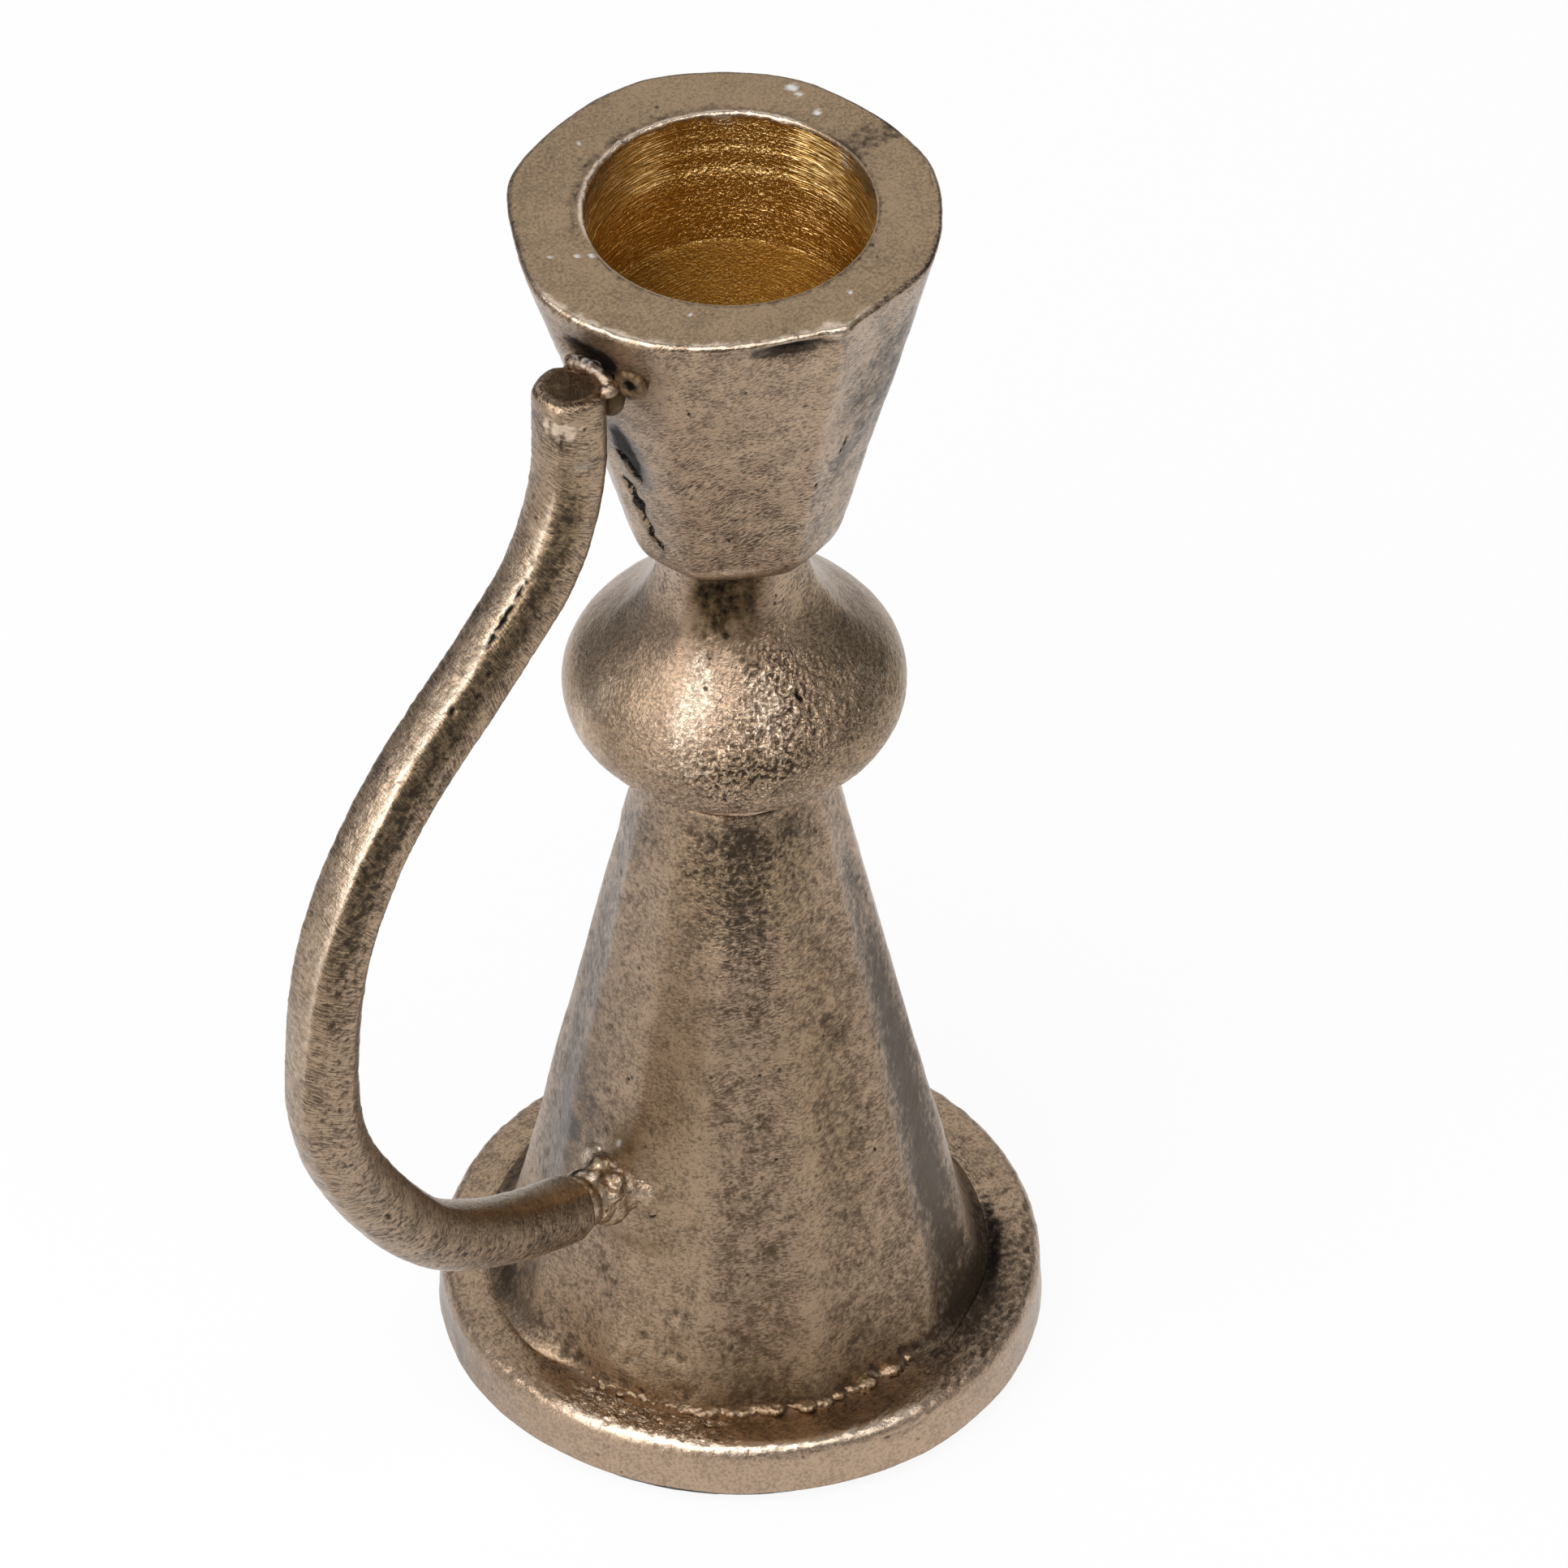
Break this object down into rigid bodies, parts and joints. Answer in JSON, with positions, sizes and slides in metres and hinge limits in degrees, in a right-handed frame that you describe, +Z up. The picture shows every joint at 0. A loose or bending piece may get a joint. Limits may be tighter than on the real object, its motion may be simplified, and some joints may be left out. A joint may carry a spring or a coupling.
{
  "type": "taper candle holder",
  "caption": "Cast-metal taper candle holder with a flared socketed cup, ball knop, conical stem, rimmed foot and a bent-rod side handle.",
  "frame": {"origin": "centre of the base pad's underside, on the surface that the holder stands on", "axes": "+Z up along the candle's axis, with the handle in the XZ plane on the -X side"},
  "size_m": [0.0793, 0.051, 0.1212],
  "materials": {
    "cast_body": "antique brass plate with dark patina over a sand-cast skin",
    "handle": "antique brass plate on a hammered rod, rubbed bright on its ridge",
    "weld": "weld metal under a thin brass plate, pitted",
    "fastener": "zinc-plated steel",
    "pad": "dark felt"
  },
  "bodies": {
    "root": {"base_pad": "pad", "foot": "cast_body", "cone_stem": "cast_body", "knop": "cast_body", "candle_cup": "cast_body", "tie_stud": "fastener", "washer": "fastener", "hex_nut": "fastener", "handle_rod": "handle", "upper_weld": "weld", "upper_weld_side": "weld", "lower_weld": "weld", "foot_weld": "weld"}
  },
  "joints": []
}
